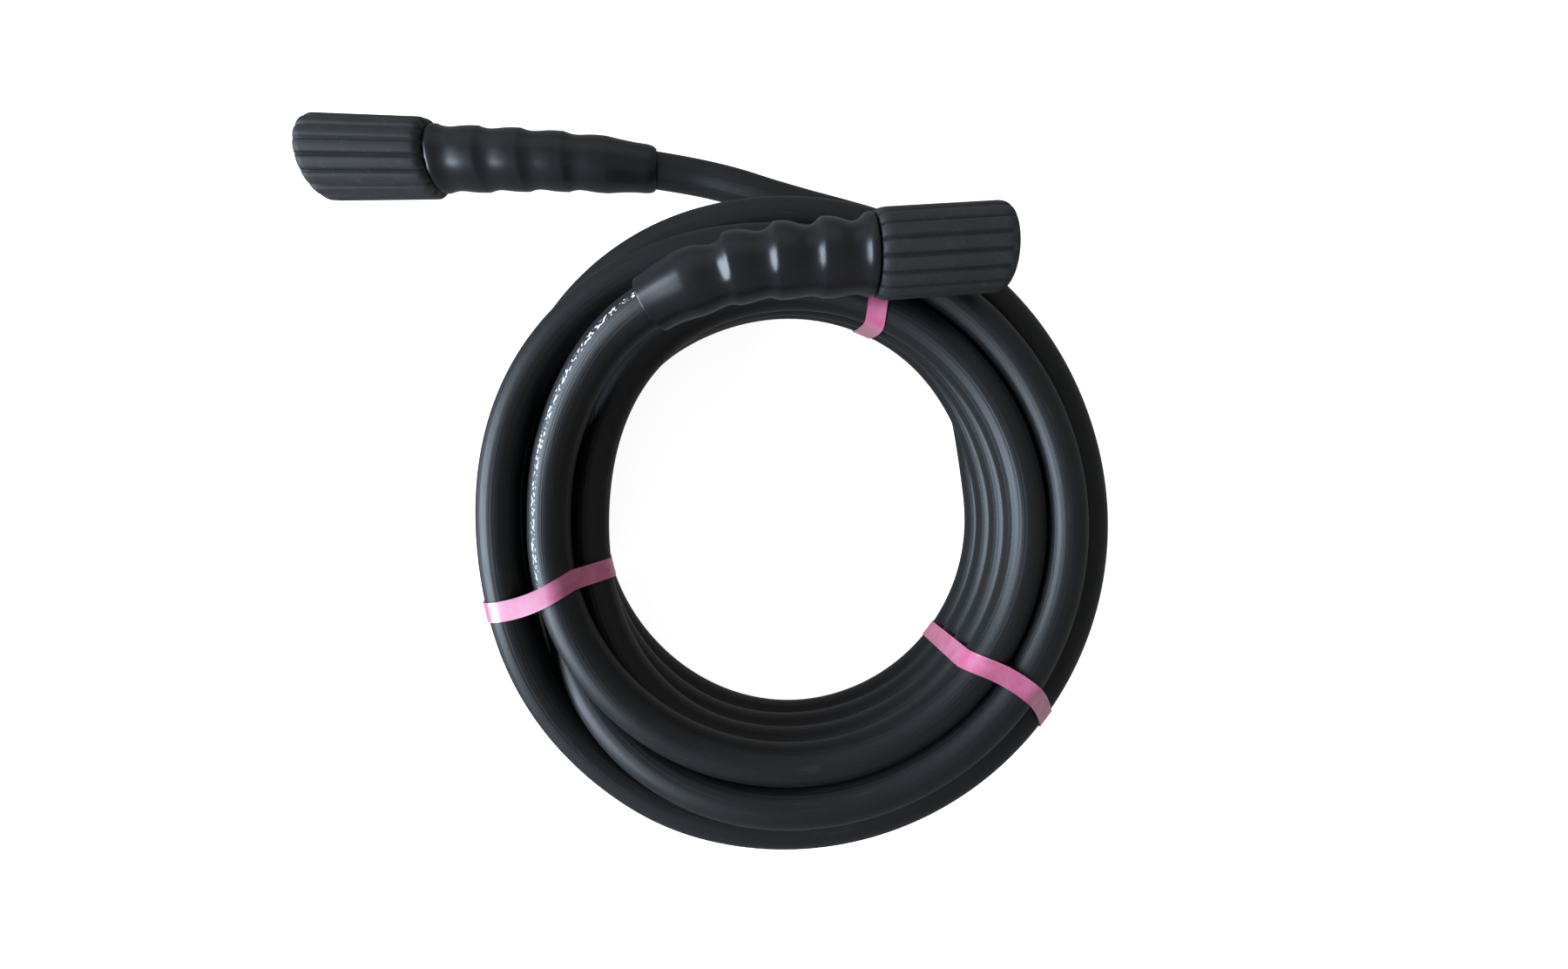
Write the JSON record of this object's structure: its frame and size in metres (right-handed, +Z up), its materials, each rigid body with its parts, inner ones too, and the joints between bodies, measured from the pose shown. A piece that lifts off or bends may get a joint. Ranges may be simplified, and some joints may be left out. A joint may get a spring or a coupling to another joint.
{
  "type": "high pressure washer hose",
  "caption": "Black rubber high pressure hose in a strapped coil, with a ribbed screw coupling and a bumpy bend restrictor on each end.",
  "frame": {"origin": "on the floor, under the middle of the whole part's box; the coil's own axis stands at x = +0.0383 m, y = -0.0234 m", "axes": "+Z up, square to the coil's turns and along its axis; +X from the free coupling's mouth towards the coil; +Y from the coil towards the side that both couplings lie on"},
  "size_m": [0.341, 0.3108, 0.0986],
  "materials": {
    "hose_rubber": "satin",
    "nut_plastic": "matte",
    "sleeve_plastic": "satin",
    "brass": "machined",
    "plated_steel": "plated",
    "seal_rubber": "satin",
    "strap_plastic": "satin"
  },
  "bodies": {
    "hose": {"hose_coil": "hose_rubber", "hose_last_turn": "hose_rubber", "hose_tail_a": "hose_rubber", "strap_left": "strap_plastic", "strap_right": "strap_plastic", "strap_top": "strap_plastic", "stem_a": "brass", "o_ring_a": "seal_rubber", "ferrule_a": "plated_steel", "bend_restrictor_a": "sleeve_plastic", "stem_b": "brass", "o_ring_b": "seal_rubber", "ferrule_b": "plated_steel", "bend_restrictor_b": "sleeve_plastic"},
    "nut_a": {"hand_nut_a": "nut_plastic", "thread_insert_a": "brass"},
    "nut_b": {"hand_nut_b": "nut_plastic", "thread_insert_b": "brass"}
  },
  "joints": [
    {"name": "nut_a_turn", "type": "hinge", "parent": "hose", "child": "nut_a", "pos_m": [-0.1177, 0.13815, 0.0179], "axis": [-1, 0, 0], "continuous": true},
    {"name": "nut_b_turn", "type": "hinge", "parent": "hose", "child": "nut_b", "pos_m": [0.06725, 0.07195, 0.08336], "axis": [0.9952, 0.0871, -0.0436], "continuous": true}
  ]
}
